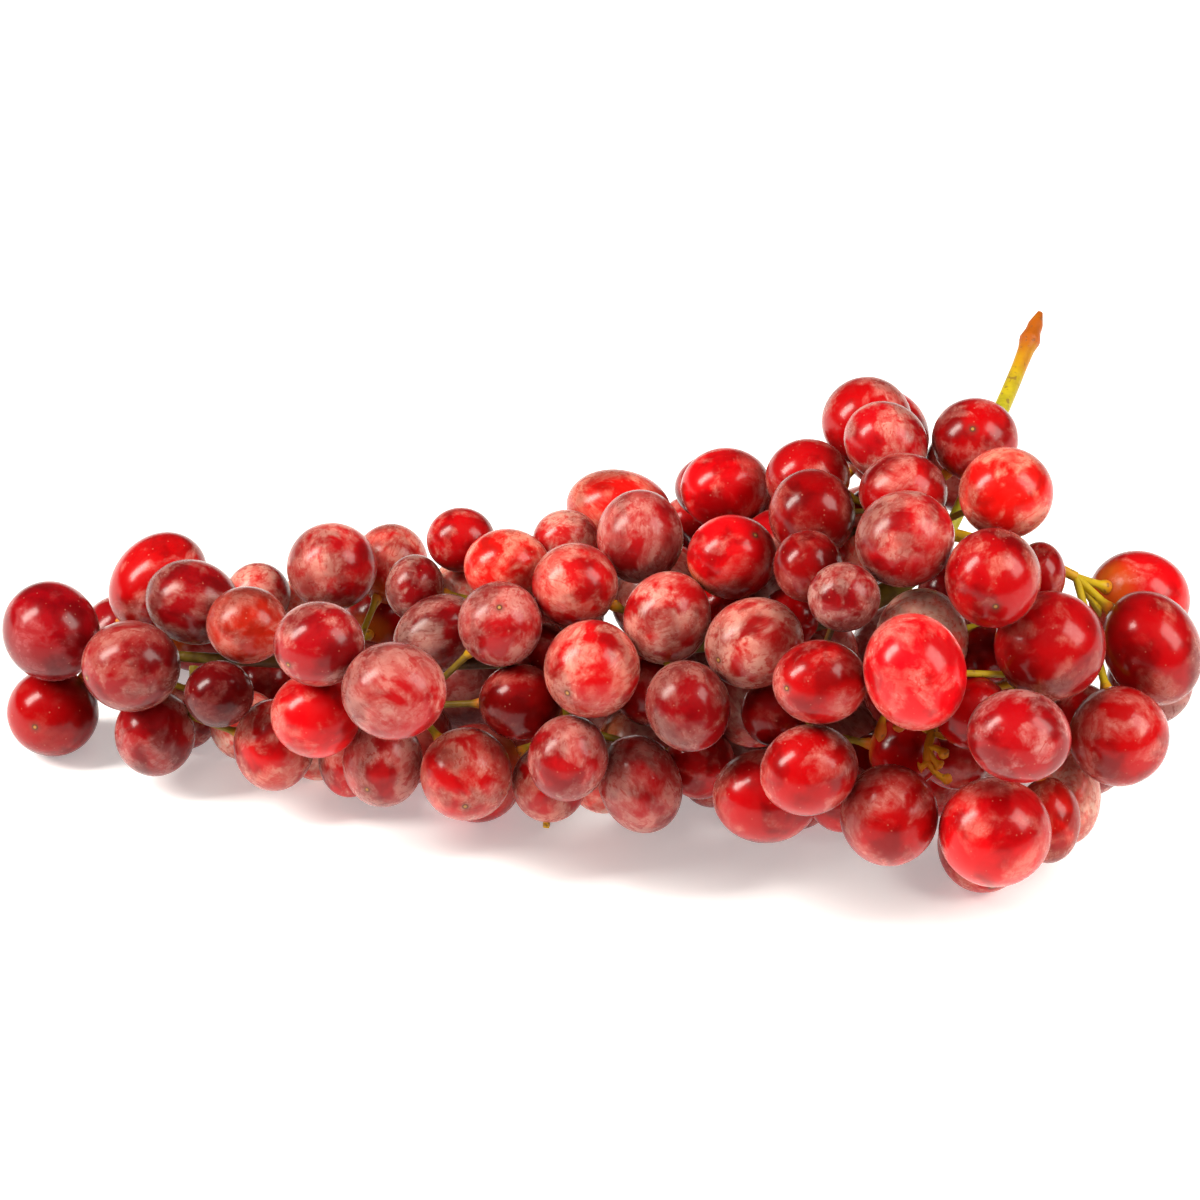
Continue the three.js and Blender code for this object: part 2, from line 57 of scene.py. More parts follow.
# The bunch as it is looked at: from the front and 35 degrees above the table, from 1.2 m away,
# with a view 240 mm wide at the middle of the picture. One pixel is 0.2 mm there.
view_elevation = math.radians(35)
view_distance = 1200
mm_per_pixel = 0.2
picture_middle = 600
ground_row = 740
picture_width = 1200
shift = np.array([0.7, 18.0, 0.0])
right = np.array([1.0, 0.0, 0.0])
up = np.array([0.0, math.sin(view_elevation), math.cos(view_elevation)])
toward = np.array([0.0, -math.cos(view_elevation), math.sin(view_elevation)])
MM = 0.001
middle_height = (ground_row - picture_middle) * mm_per_pixel
looked_at = (shift + up * middle_height) * MM

camera = bpy.data.objects.new("camera", bpy.data.cameras.new("camera"))
scene.collection.objects.link(camera)
camera.location = looked_at + toward * view_distance * MM
camera.rotation_euler = (math.radians(90) - view_elevation, 0, 0)
camera.data.sensor_width = 36
camera.data.lens = camera.data.sensor_width * view_distance / (picture_width * mm_per_pixel)
camera.data.clip_end = 10
scene.camera = camera


# The berries, in life 16 to 23 mm round, crowd round the main stem and settle under their own weight.
# A row is a seen one's place, widths and turn in the picture, its finish and, where it shows, its scar.
# The rest fill the far side and the underside in rows. All lengths in this section are millimetres.
seen_rows = [
    [
        (131, 666, 101, 93, 0, "rose_brown", (88, 678)),
        (394, 691, 107, 100, 0, "mauve_rose"),
        (319, 644, 93, 87, 0, "streaked", (289, 665)),
        (466, 774, 93, 95, 0, "coral", (466, 806)),
        (500, 624, 86, 87, 0, "mauve_rose", (500, 607)),
        (575, 585, 88, 86, 0, "coral"),
        (592, 669, 98, 100, 0, "coral", (567, 693)),
        (667, 618, 88, 96, -20, "glossy_dark"),
        (820, 682, 97, 86, 0, "crimson", (785, 688)),
        (809, 770, 101, 92, 20, "crimson"),
        (905, 539, 102, 98, 25, "rose"),
        (844, 597, 74, 71, 0, "grey_mauve"),
        (915, 672, 104, 121, 15, "bright_bloom"),
        (993, 578, 98, 102, 0, "cherry", (993, 607)),
        (1152, 648, 98, 120, 25, "cherry"),
        (1019, 736, 110, 98, -10, "patched"),
        (995, 832, 115, 112, 0, "bright"),
        (889, 815, 100, 104, 0, "crimson"),
    ],
    [
        (51, 631, 98, 103, 30, "mottled"),
        (247, 625, 83, 79, 0, "salmon"),
        (155, 733, 82, 88, 0, "purple_pink"),
        (219, 694, 71, 68, 0, "dark"),
        (316, 715, 92, 88, 0, "bright"),
        (332, 567, 92, 90, 0, "rose"),
        (437, 634, 94, 76, 35, "grey_mauve"),
        (507, 567, 88, 78, 0, "bright_coral"),
        (383, 762, 82, 92, 0, "mauve_rose", (368, 789)),
        (640, 537, 88, 96, 0, "mauve_rose"),
        (568, 758, 82, 88, -15, "mauve_rose"),
        (688, 706, 86, 94, 20, "rose_brown"),
        (754, 643, 102, 92, 20, "dusty_pink", (717, 660)),
        (766, 796, 108, 96, 0, "cherry"),
        (808, 566, 70, 74, 0, "maroon"),
        (903, 492, 90, 80, 0, "crimson"),
        (1006, 493, 99, 96, 0, "bright_coral"),
        (922, 640, 94, 106, 0, "pale"),
        (1139, 598, 104, 96, -15, "bright"),
        (1050, 646, 114, 112, 0, "cherry"),
    ],
    [
        (53, 712, 96, 93, 0, "deep_red", (38, 727)),
        (193, 602, 98, 85, -20, "rose_brown"),
        (274, 745, 82, 94, 0, "coral"),
        (415, 588, 60, 68, 0, "grey_mauve"),
        (461, 540, 70, 66, 0, "cherry"),
        (566, 540, 68, 62, 0, "dusty_pink"),
        (732, 557, 92, 86, 0, "bright", (755, 535)),
        (640, 784, 84, 102, 20, "mauve_rose"),
        (520, 702, 84, 78, 0, "maroon"),
        (812, 514, 88, 92, 0, "maroon"),
        (886, 442, 88, 80, -35, "rose"),
        (975, 440, 88, 86, 0, "crimson", (970, 430)),
        (1119, 736, 102, 102, 0, "crimson"),
        (1048, 820, 66, 88, 0, "dull_brown"),
        (185, 717, 66, 66, 0, "rose_brown"),
        (349, 760, 62, 76, 0, "rose"),
    ],
    [
        (158, 583, 112, 92, 50, "crimson"),
        (245, 725, 72, 72, 0, "pale"),
        (391, 564, 76, 82, 0, "coral"),
        (726, 489, 92, 84, 0, "bright"),
        (619, 509, 108, 80, -10, "bright_coral"),
        (549, 783, 76, 80, 0, "coral"),
        (700, 762, 70, 76, 0, "crimson"),
        (808, 478, 86, 80, 0, "cherry"),
        (867, 422, 92, 92, 0, "crimson"),
        (1068, 796, 66, 98, 0, "pale"),
        (842, 797, 70, 72, 0, "crimson"),
        (1040, 575, 52, 68, 0, "maroon"),
    ],
    [
        (258, 595, 66, 66, 0, "dusty_pink"),
        (660, 562, 80, 80, 0, "deep_red"),
        (717, 488, 86, 70, 0, "cherry"),
        (122, 634, 82, 80, 0, "rose_brown"),
        (318, 746, 70, 70, 0, "pale"),
        (604, 777, 74, 74, 0, "pale"),
        (712, 776, 64, 64, 0, "crimson"),
        (775, 712, 70, 70, 0, "maroon"),
        (972, 712, 76, 76, 0, "deep_red"),
        (462, 592, 66, 66, 0, "pale"),
    ],
    [
        (268, 684, 70, 70, 0, "maroon"),
        (195, 634, 76, 76, 0, "maroon"),
        (650, 690, 74, 74, 0, "maroon"),
        (860, 548, 70, 70, 0, "bright_coral"),
        # These three lie down in the hollow at the lower right; their dark finishes are partly painted shade of
        # the hollow.
        (905, 752, 74, 74, 0, "deep_red"),
        (956, 752, 76, 76, 0, "maroon"),
        (880, 768, 74, 74, 0, "deep_red"),
    ],
    [
        (378, 618, 70, 66, 0, "maroon"),
        (294, 608, 56, 56, 0, "pale"),
        (690, 525, 62, 60, 0, "crimson"),
        (874, 514, 60, 56, 0, "deep_red"),
        (948, 592, 62, 60, 0, "dark"),
        (1082, 713, 60, 60, 0, "crimson"),
        (778, 512, 60, 60, 0, "crimson"),
        (986, 655, 62, 60, 0, "deep_red"),
        (545, 652, 60, 60, 0, "maroon"),
        (724, 608, 60, 56, 0, "deep_red"),
        (790, 617, 60, 60, 0, "deep_red"),
    ],
]
# Station along the bunch, half its height there, how far back its middle lies, and how far it is off
# the ground.
section_rows = [
    (-112, 15.8, 2, 0),
    (-90, 21, 0, 0),
    (-64, 21, -7, 0),
    (-28, 27.9, -13, 0),
    (4, 32.3, -15, 0),
    (24, 35.1, -17, 0),
    (54, 43.5, -20, 0),
    (80, 43.5, -26, 0),
    (95, 28, -28, 6),
    (110, 20.9, -22, 12),
]
width_to_height = 1.35
berry_gap = 0.35
outline_share = 0.97
pressed_flat = 0.5
layer_step = 1.5
let_down = 2.1
sag = 5
depth_range = 100
depth_step = 0.4
thinnest = 4
see_through = [(852, 481), (965, 525), (1103, 680), (1078, 592), (955, 549), (188, 676), (447, 572)]
hidden_sizes = [9.4, 8.8, 9.9, 9.1, 10.2, 8.6]
hidden_stretch = 1.06
hidden_layers = [0, 4, 8, 18, -5]
hidden_finishes = ["rose", "cherry", "mauve_rose", "bright", "crimson", "coral", "dusty_pink"]
row_step = 2
turn_step = math.radians(5)
outline_samples = 12
outline_slack = 9


def length(ways):
    """The length of one way, or of each of several."""
    return np.linalg.norm(ways, axis=-1)


def unit(way):
    return way / length(way)


class Berry:
    """An egg-round berry: its centre, its three half widths and their directions."""

    def __init__(self, finish, centre=None, half=None, axes=None):
        self.finish = finish
        self.centre = centre
        self.half = half
        self.axes = axes
        self.outline = None
        self.scar = None

    def reach(self, directions):
        """How far it reaches from its centre in one direction, or in each of several."""
        return length(self.half * (directions @ self.axes.T))

    def lowest(self):
        return self.reach(np.array([0.0, 0.0, 1.0])) - pressed_flat


class Crowd:
    """Several berries at once, for measuring one thing against them all."""

    def __init__(self, berries):
        self.centre = np.array([berry.centre for berry in berries]).reshape(-1, 3)
        self.half = np.array([berry.half for berry in berries]).reshape(-1, 3)
        self.axes = np.array([berry.axes for berry in berries]).reshape(-1, 3, 3)

    def reach(self, directions):
        return length(self.half * np.einsum("nij,nj->ni", self.axes, directions))

    def touches(self, berry):
        if len(self.centre) == 0:
            return False
        between = self.centre - berry.centre
        distance = length(between)
        between /= distance[:, None]
        return bool(np.any(distance - berry.reach(between) - self.reach(between) < berry_gap))


def spot(x, y, depth):
    """The point seen at a pixel, at a depth towards the viewer."""
    shrink = 1 - depth / view_distance
    aside = (x - picture_middle) * mm_per_pixel * shrink
    upward = middle_height + (picture_middle - y) * mm_per_pixel * shrink
    return right * aside + up * upward + toward * depth + shift


def section(station):
    """Half the height of the bunch at a station, how far back its middle is, and how high."""
    columns = np.array(section_rows, dtype=float).T
    half, back, lift = (np.interp(station, columns[0], column) for column in columns[1:])
    return half, back, half + lift


def fullness(point, radius):
    """Under 1 where a berry of this radius, at this point, lies inside the skin of the bunch."""
    half, back, middle = section(point[0] - shift[0])
    across = (point[1] - shift[1] - back) / max(half * width_to_height - radius, thinnest)
    upward = (point[2] - middle) / max(half - radius, thinnest)
    return across * across + upward * upward


def set_depth(berry, depth):
    """Puts a seen berry at a depth, as wide and as high as it looks in the picture."""
    x, y, width, height = berry.outline
    shrink = 1 - depth / view_distance
    berry.depth = depth
    berry.centre = spot(x, y, depth)
    scale = outline_share * mm_per_pixel * shrink
    berry.half = np.array([width, height, (width + height) / 2]) / 2 * scale


def seen_berry(row, layer):
    x, y, width, height, turn, finish = row[:6]
    berry = Berry(finish)
    berry.outline = (x, y, width, height)
    berry.turn = math.radians(turn)
    along = right * math.cos(berry.turn) + up * math.sin(berry.turn)
    aside = up * math.cos(berry.turn) - right * math.sin(berry.turn)
    berry.axes = np.array([along, aside, toward])
    berry.scar = row[6] if len(row) > 6 else None
    best = math.inf
    for trial in np.arange(depth_range, -depth_range, -depth_step):
        set_depth(berry, trial)
        value = fullness(berry.centre, berry.half[2])
        if value < best:
            best = value
            skin_depth = trial
        if value < 1:
            break
    set_depth(berry, skin_depth - layer * layer_step)
    if berry.centre[2] < let_down * berry.half[2]:
        while berry.centre[2] > berry.lowest():
            set_depth(berry, berry.depth - depth_step)
    return berry


def seen_berries():
    """Each seen berry lies on the skin of the bunch, behind those that hide it and above the ground."""
    berries = [seen_berry(row, layer) for layer, rows in enumerate(seen_rows) for row in rows]
    for index, berry in enumerate(berries):
        nearer = Crowd(berries[:index])
        while nearer.touches(berry):
            set_depth(berry, berry.depth - depth_step)
    for index in reversed(range(len(berries))):
        berry = berries[index]
        farther = Crowd(berries[index + 1:])
        while berry.centre[2] < berry.lowest() or farther.touches(berry):
            set_depth(berry, berry.depth + depth_step)
    return berries


def on_outline(dx, dy, turn, half_wide, half_high):
    """A step in the picture, as shares of the half widths of a turned outline."""
    along = dx * np.cos(turn) + dy * np.sin(turn)
    aside = dy * np.cos(turn) - dx * np.sin(turn)
    return along / half_wide, aside / half_high


def stays_hidden(berry, seen):
    """A far berry stays out of sight: its outline is behind nearer berries and off the white gaps."""
    local = berry.centre - shift
    depth = local @ toward
    scale = mm_per_pixel * (1 - depth / view_distance)
    x = picture_middle + local @ right / scale
    y = picture_middle - (local @ up - middle_height) / scale
    radius = berry.half[0] / scale
    if any(math.hypot(gap_x - x, gap_y - y) < radius for gap_x, gap_y in see_through):
        return False
    middle_x, middle_y, width, height = np.array([other.outline for other in seen]).T
    slack_sizes = width / 2 + outline_slack, height / 2 + outline_slack
    turn = np.array([other.turn for other in seen])
    nearer = np.array([other.depth for other in seen]) > depth
    for sample in range(outline_samples):
        angle = sample / outline_samples * 2 * math.pi
        dx = x + math.cos(angle) * radius - middle_x
        dy = middle_y - (y + math.sin(angle) * radius)
        along, aside = on_outline(dx, dy, turn, *slack_sizes)
        if not np.any(nearer & (along ** 2 + aside ** 2 < 1)):
            return False
    return True


def hidden_berries(seen, limbs):
    """Rows of berries on the skin from the tip to the stem end, each as near the next as it fits."""
    hidden = []
    seen_crowd = Crowd(seen)
    hidden_crowd = Crowd(hidden)
    for inset in hidden_layers:
        for station in range(section_rows[0][0], section_rows[-1][0] + 1, row_step):
            half, back, middle = section(station)
            turn = -turn_step
            while turn + turn_step < 2 * math.pi:
                turn += turn_step
                size = hidden_sizes[len(hidden) % len(hidden_sizes)]
                across = half * width_to_height - size - inset
                upward = half - size - inset
                if upward < 0:
                    continue
                outward = np.array([0.0, math.cos(turn), math.sin(turn)])
                centre = shift + (station, back + across * outward[1], middle + upward * outward[2])
                around = np.array([0.0, -outward[2], outward[1]])
                finish = hidden_finishes[len(hidden) % len(hidden_finishes)]
                half_widths = np.array([size * hidden_stretch, size, size])
                berry = Berry(finish, centre, half_widths, np.array([outward, around, right]))
                if centre[2] < berry.lowest() + sag:
                    centre[2] = berry.lowest()
                if seen_crowd.touches(berry) or hidden_crowd.touches(berry):
                    continue
                if limbs.clear_of(berry) and stays_hidden(berry, seen):
                    hidden.append(berry)
                    hidden_crowd = Crowd(hidden)
    return hidden


# The woody frame of the bunch: the main stem runs from its cut end to the tip, thirteen branches turn
# round it, a last one carries the wing at the stem end, and a stalk goes from a branch into each berry.
# Lengths are millimetres too. A row is a pixel, a depth to the viewer and, for the main stem, a radius.
main_stem_rows = [
    (1040, 313, 5, 1),
    (1034, 328, 7, 1.6),
    (1028, 344, 9, 2.1),
    (1019, 370, 13, 1.6),
    (1008, 404, 22, 1.7),
    (988, 448, 32, 1.7),
    (955, 487, 40, 1.7),
    (955, 512, 42, 1.8),
    (961, 541, 44, 2),
    (950, 590, 46, 2.2),
    (900, 620, 44, 2.2),
    (820, 635, 38, 2.1),
    (740, 645, 34, 2),
    (660, 650, 32, 1.9),
    (580, 655, 30, 1.8),
    (500, 662, 27, 1.7),
    (420, 668, 22, 1.5),
    (340, 672, 19, 1.4),
    (260, 665, 16, 1.2),
    (200, 658, 13, 1.1),
    (120, 652, 12, 0.9),
]
wing_rows = [(961, 541, 44), (990, 530, 50), (1033, 540, 52), (1060, 558, 49), (1076, 577, 46)]
stem_steps = 45
wing_station = 98
branch_count = 13
first_turn = math.radians(150)
branch_turn = math.radians(137.5)
branch_start = 84
branch_end = -96
branch_reach = 0.45
branch_start_gap = 0.95
front_cost = 1
branch_radius = 1.1
branch_steps = 4
wing_steps = 8
branch_tries = 4
stalk_radius = 0.7
stalk_steps = 4
root_depth = 0.55
stem_gap = 0.4
bend_rounds = 60
bend_share = 0.25
bend_slack = 0.35


class Limbs:
    """Straight stretches of stem, each with its thickness."""

    def __init__(self, start=(), end=(), radius=()):
        self.start = np.array(start, dtype=float).reshape(-1, 3)
        self.end = np.array(end, dtype=float).reshape(-1, 3)
        self.radius = np.array(radius, dtype=float)

    @staticmethod
    def along(route, radii):
        return Limbs(route[:-1], route[1:], np.maximum(radii[:-1], radii[1:]))

    @staticmethod
    def even(route, radius):
        return Limbs.along(route, np.full(len(route), radius))

    @staticmethod
    def gathered(several):
        parts = [Limbs()] + list(several)
        return Limbs(
            np.concatenate([part.start for part in parts]),
            np.concatenate([part.end for part in parts]),
            np.concatenate([part.radius for part in parts]),
        )

    def nearest(self, point):
        """On each stretch, the place nearest to a point."""
        stretch = self.end - self.start
        share = np.sum((point - self.start) * stretch, axis=1) / np.sum(stretch * stretch, axis=1)
        return self.start + stretch * np.clip(share, 0, 1)[:, None]

    def clear_of(self, berry):
        away = self.nearest(berry.centre) - berry.centre
        distance = length(away)
        reach = berry.reach(away / distance[:, None])
        return bool(np.all(distance > reach + self.radius + berry_gap))

    def clear_of_crowd(self, crowd):
        for start, end, radius in zip(self.start, self.end, self.radius):
            stretch = end - start
            share = np.clip((crowd.centre - start) @ stretch / (stretch @ stretch), 0, 1)
            away = start + share[:, None] * stretch - crowd.centre
            distance = length(away)
            if np.any(distance <= crowd.reach(away / distance[:, None]) + radius + berry_gap):
                return False
        return True

    def apart_from(self, others):
        if len(others.radius) == 0:
            return True
        for start, end, radius in zip(self.start, self.end, self.radius):
            samples = max(2, math.ceil(length(end - start)))
            for k in range(samples + 1):
                point = start + (end - start) * k / samples
                distance = length(others.nearest(point) - point)
                if np.any(distance < radius + others.radius + stem_gap):
                    return False
        return True


def smooth_route(points, steps):
    """A smooth line through points, that turns no tighter where they are close together."""
    points = [2 * points[0] - points[1], *points, 2 * points[-1] - points[-2]]
    spans = len(points) - 3
    route = []
    for step in range(steps + 1):
        place = spans * step / steps
        span = min(int(place), spans - 1)
        share = place - span
        before, start, end, after = points[span:span + 4]
        gap_before, gap, gap_after = (
            math.sqrt(length(b - a)) for a, b in ((before, start), (start, end), (end, after))
        )
        leave = (start - before) / gap_before - (end - before) / (gap_before + gap) + (end - start) / gap
        arrive = (end - start) / gap - (after - start) / (gap + gap_after) + (after - end) / gap_after
        leave *= gap
        arrive *= gap
        square = 3 * (end - start) - 2 * leave - arrive
        cube = 2 * (start - end) + leave + arrive
        route.append(start + leave * share + square * share ** 2 + cube * share ** 3)
    return np.array(route)


def bend_clear(route, clearance, crowd):
    """Bends a route out of the way of the berries in its path, and keeps its two ends."""
    route = np.array(route)
    for _ in range(bend_rounds):
        for k in range(1, len(route) - 1):
            middle = (route[k - 1] + route[k + 1]) / 2
            route[k] += (middle - route[k]) * bend_share
            first = 0
            while True:
                away = route[k] - crowd.centre
                distance = length(away)
                away /= distance[:, None]
                short = crowd.reach(away) + clearance - distance
                near = np.flatnonzero(short[first:] > 0)
                if len(near) == 0:
                    break
                berry = first + near[0]
                route[k] += away[berry] * short[berry]
                first = berry + 1
            route[k][2] = max(route[k][2], clearance)
    return route


def main_stem_route(seen):
    points = smooth_route([spot(*row[:3]) for row in main_stem_rows], stem_steps)
    widest = max(row[3] for row in main_stem_rows)
    route = bend_clear(points, widest + bend_slack, Crowd(seen))
    places = np.arange(stem_steps + 1) / stem_steps * (len(main_stem_rows) - 1)
    radii = np.interp(places, range(len(main_stem_rows)), [row[3] for row in main_stem_rows])
    return route, radii


def branch_routes(stem):
    """Branches turn round the main stem from its cut end to the tip, and the last carries the wing."""
    routes = []
    for k in range(branch_count):
        station = branch_start + (branch_end - branch_start) * k / (branch_count - 1)
        half, back, middle = section(station)
        turn = first_turn + k * branch_turn
        across = half * width_to_height * branch_reach * math.cos(turn)
        end = shift + (station, back + across, middle + half * branch_reach * math.sin(turn))
        routes.append(np.linspace(branch_foot(stem, end, end), end, branch_steps + 1))
    wing = smooth_route([spot(*row) for row in wing_rows], wing_steps)
    wing[0] = branch_foot(stem, wing[0], wing[1])
    return routes + [wing]


def branch_foot(stem, point, goal):
    """Where a branch starts: at the main stem's place nearest to a point, on the side of a goal."""
    nearest = stem.nearest(point)
    best = np.argmin(length(nearest - point))
    return nearest[best] + unit(goal - nearest[best]) * (stem.radius[best] + branch_start_gap)


def hanging_cost(foot, berry):
    """A berry would rather hang from a place near it, and behind it as the bunch is seen."""
    way = foot - berry.centre
    return length(way) + front_cost * max(0, way @ toward)


def stalk_for(berry, branch, crowd, others):
    """A stalk from its branch into a berry: straight where the way is free, else bent."""
    feet = sorted(branch, key=lambda foot: hanging_cost(foot, berry))
    for bent in (False, True):
        for foot in feet:
            inward = unit(foot - berry.centre)
            root = berry.centre + inward * berry.reach(inward) * (1 - root_depth)
            route = np.array([foot, root])
            if bent:
                straight = np.linspace(foot, root, stalk_steps + 1)
                route = bend_clear(straight, stalk_radius + bend_slack + berry_gap, crowd)
            limbs = Limbs.even(route, stalk_radius)
            if limbs.clear_of_crowd(crowd) and limbs.apart_from(others):
                return route
    return None


def grow_stalk(berry, berries, branches, stem_limbs):
    """Gives a berry a stalk from the cheapest branch that has a free way to it."""
    def rank(k):
        return 0 if k == berry.home else hanging_cost(branches[k][-1], berry)

    for k in sorted(range(len(branches)), key=rank)[:branch_tries]:
        berry.spray = k
        foreign = [other for other in berries if other.spray != k]
        others = [stem_limbs]
        others += [Limbs.even(route, branch_radius) for route in branches[:k] + branches[k + 1:]]
        others += [other.stalk_limbs for other in foreign if other.stalk is not None]
        others = Limbs.gathered(others)
        if not others.clear_of(berry):
            continue
        berry.stalk = stalk_for(berry, branches[k], Crowd(foreign), others)
        if berry.stalk is not None:
            berry.stalk_limbs = Limbs.even(berry.stalk, stalk_radius)
            return True
    return False


seen = seen_berries()
stem_route, stem_radii = main_stem_route(seen)
stem_limbs = Limbs.along(stem_route, stem_radii)
berries = seen + hidden_berries(seen, stem_limbs)
branches = branch_routes(stem_limbs)
for berry in berries:
    berry.spray = int(np.argmin([hanging_cost(route[-1], berry) for route in branches[:-1]]))
    if berry.centre[0] - shift[0] > wing_station:
        berry.spray = len(branches) - 1
    berry.home = berry.spray
    berry.stalk = None
for k, route in enumerate(branches):
    foreign = Crowd([berry for berry in berries if berry.spray != k])
    branches[k] = bend_clear(route, branch_radius + bend_slack + berry_gap, foreign)
berries = [berry for berry in berries if grow_stalk(berry, berries, branches, stem_limbs)]


# The berry skin: thin, red and glossy where it has been rubbed, and elsewhere under a pale waxy bloom
# that is soft to the light. It has fine pale dots, a dry scar at the free end, where the flower was,
# and a browner, often paler patch round the stalk.
class Tree:
    """Lays the nodes of one tree: a node's settings come first, then what feeds its sockets."""

    def __init__(self, tree):
        self.tree = tree
        tree.nodes.clear()

    def node(self, kind, feeds=None, out=0, **settings):
        made = self.tree.nodes.new(kind)
        for name, value in settings.items():
            setattr(made, name, value)
        for key, value in (feeds or {}).items():
            if isinstance(value, Wire):
                self.tree.links.new(value.socket, made.inputs[key])
            else:
                made.inputs[key].default_value = value
        return Wire(self, made.outputs[out] if made.outputs else None)

    def math(self, operation, *values):
        return self.node("ShaderNodeMath", dict(enumerate(values)), operation=operation)

    def mixed(self, share, first, second):
        """Two colours mixed by a share."""
        feeds = {0: share, 6: first, 7: second}
        return self.node("ShaderNodeMix", feeds, out=2, data_type="RGBA")

    def rise(self, value, low, high):
        """0 below low, 1 above high, smooth between."""
        feeds = {"Value": value, "From Min": low, "From Max": high}
        return self.node("ShaderNodeMapRange", feeds, interpolation_type="SMOOTHSTEP")

    def attribute(self, name, out=0):
        return self.node("ShaderNodeAttribute", out=out, attribute_name=name)

    def noise(self, place, scale, detail=2.0, roughness=0.5, distortion=0.0):
        feeds = {"Vector": place, "Scale": scale, "Detail": detail, "Roughness": roughness}
        return self.node("ShaderNodeTexNoise", {**feeds, "Distortion": distortion})

    def vector(self, operation, first, second, out=0):
        key = "Scale" if operation == "SCALE" else 1
        return self.node("ShaderNodeVectorMath", {0: first, key: second}, out=out, operation=operation)

    def surface(self, feeds):
        """Ends the tree of a material in its one surface."""
        finish = self.node("ShaderNodeBsdfPrincipled", feeds)
        self.node("ShaderNodeOutputMaterial", {"Surface": finish})


class Wire:
    """A socket, so that sums on it read as sums."""

    def __init__(self, tree, socket):
        self.tree = tree
        self.socket = socket

    def __add__(self, other):
        return self.tree.math("ADD", self, other)

    def __sub__(self, other):
        return self.tree.math("SUBTRACT", self, other)

    def __rsub__(self, other):
        return self.tree.math("SUBTRACT", other, self)

    def __mul__(self, other):
        return self.tree.math("MULTIPLY", self, other)

    def __truediv__(self, other):
        return self.tree.math("DIVIDE", self, other)

    def __pow__(self, other):
        return self.tree.math("POWER", self, other)

    __radd__ = __add__
    __rmul__ = __mul__


def new_material(name):
    material = bpy.data.materials.new(name)
    material.use_nodes = True
    return material, Tree(material.node_tree)


# Skin colour, bloom colour, how thick the bloom is and how much of it is rubbed off.
finishes = {
    "bright": ((0.58, 0.0005, 0.003), (0.66, 0.177, 0.138), 0.75, 0.80),
    "bright_bloom": ((0.80, 0.001, 0.006), (0.77, 0.224, 0.180), 0.90, 0.64),
    "bright_coral": ((0.68, 0.003, 0.002), (0.75, 0.266, 0.180), 0.95, 0.58),
    "salmon": ((0.41, 0.012, 0.003), (0.49, 0.147, 0.108), 0.90, 0.55),
    # This finish is partly painted light: it is lighter than these berries' own skin, to lift far berries that
    # lie in shade among the others.
    "pale": ((0.80, 0.060, 0.045), (0.89, 0.531, 0.408), 1.00, 0.24),
    "coral": ((0.49, 0.001, 0.003), (0.64, 0.242, 0.180), 0.92, 0.54),
    "cherry": ((0.39, 0.0003, 0.002), (0.56, 0.171, 0.126), 0.75, 0.88),
    "crimson": ((0.41, 0.0003, 0.0015), (0.58, 0.195, 0.156), 0.80, 0.77),
    "deep_red": ((0.29, 0.0002, 0.001), (0.36, 0.035, 0.026), 0.45, 0.90),
    "rose": ((0.43, 0.001, 0.004), (0.56, 0.230, 0.180), 0.95, 0.56),
    "streaked": ((0.32, 0.001, 0.004), (0.53, 0.206, 0.168), 0.88, 0.74),
    "patched": ((0.38, 0.0005, 0.003), (0.53, 0.201, 0.180), 1.00, 0.84),
    "mottled": ((0.25, 0.0005, 0.003), (0.35, 0.059, 0.060), 0.85, 0.72),
    "dusty_pink": ((0.46, 0.005, 0.006), (0.66, 0.289, 0.222), 1.00, 0.40),
    "mauve_rose": ((0.36, 0.003, 0.005), (0.51, 0.201, 0.166), 0.95, 0.46),
    "rose_brown": ((0.24, 0.001, 0.003), (0.37, 0.136, 0.108), 0.88, 0.58),
    "purple_pink": ((0.28, 0.001, 0.003), (0.39, 0.136, 0.120), 0.90, 0.52),
    "grey_mauve": ((0.24, 0.001, 0.003), (0.43, 0.206, 0.168), 0.92, 0.50),
    "glossy_dark": ((0.43, 0.001, 0.003), (0.62, 0.283, 0.222), 0.95, 0.46),
    "maroon": ((0.23, 0.0003, 0.001), (0.39, 0.100, 0.074), 0.72, 0.74),
    "dark": ((0.10, 0.0003, 0.001), (0.23, 0.065, 0.054), 0.65, 0.62),
    "dull_brown": ((0.42, 0.003, 0.002), (0.56, 0.147, 0.096), 0.88, 0.50),
}
skin, t = new_material("berry_skin")
place = t.node("ShaderNodeTexCoord", out=3)
round_place = t.attribute("on_berry", out=1)
own_values = ("seed", "rubbed", "thickness", "from_scar", "from_stalk", "outer", "unripe")
seed, rubbed_share, thickness, from_scar, from_stalk, outer, unripe_share = (
    t.attribute(name, out=2) for name in own_values
)
own_place = t.vector("ADD", round_place, t.vector("SCALE", (1.7, 2.9, 2.3), seed))

# Bloom comes off in soft windows, mostly on the outer side of the bunch, in small crisp spots, and in
# short scratches that run from stalk to scar. What is left of it is thick here and thin there.
windows = t.noise(own_place, 1.35, detail=6.0, roughness=0.55, distortion=0.4)
windows = windows + (rubbed_share - 0.5) * 0.26 + (outer - 0.62) * 0.13
window = t.rise(windows, 0.45, 0.60)
spots = t.rise(t.noise(own_place, 3.1, detail=4.0, roughness=0.6, distortion=0.5), 0.57, 0.62)
streak_place = t.vector("MULTIPLY", own_place, (3.4, 3.4, 0.8))
scratches = t.noise(streak_place, 2.2, detail=4.0, roughness=0.62, distortion=0.4)
scratched = t.rise(scratches, 0.50, 0.64)
heaped = t.rise(t.noise(own_place, 1.6, detail=5.0, roughness=0.6, distortion=0.3), 0.28, 0.68)
mottled = t.rise(t.noise(own_place, 4.5, detail=6.0, roughness=0.68, distortion=0.6), 0.34, 0.66)
grain = t.noise(place, 900.0, detail=3.0, roughness=0.7)
left_on = (1 - window * 0.97) * (1 - spots * 0.55) * (1 - scratched * 0.50)
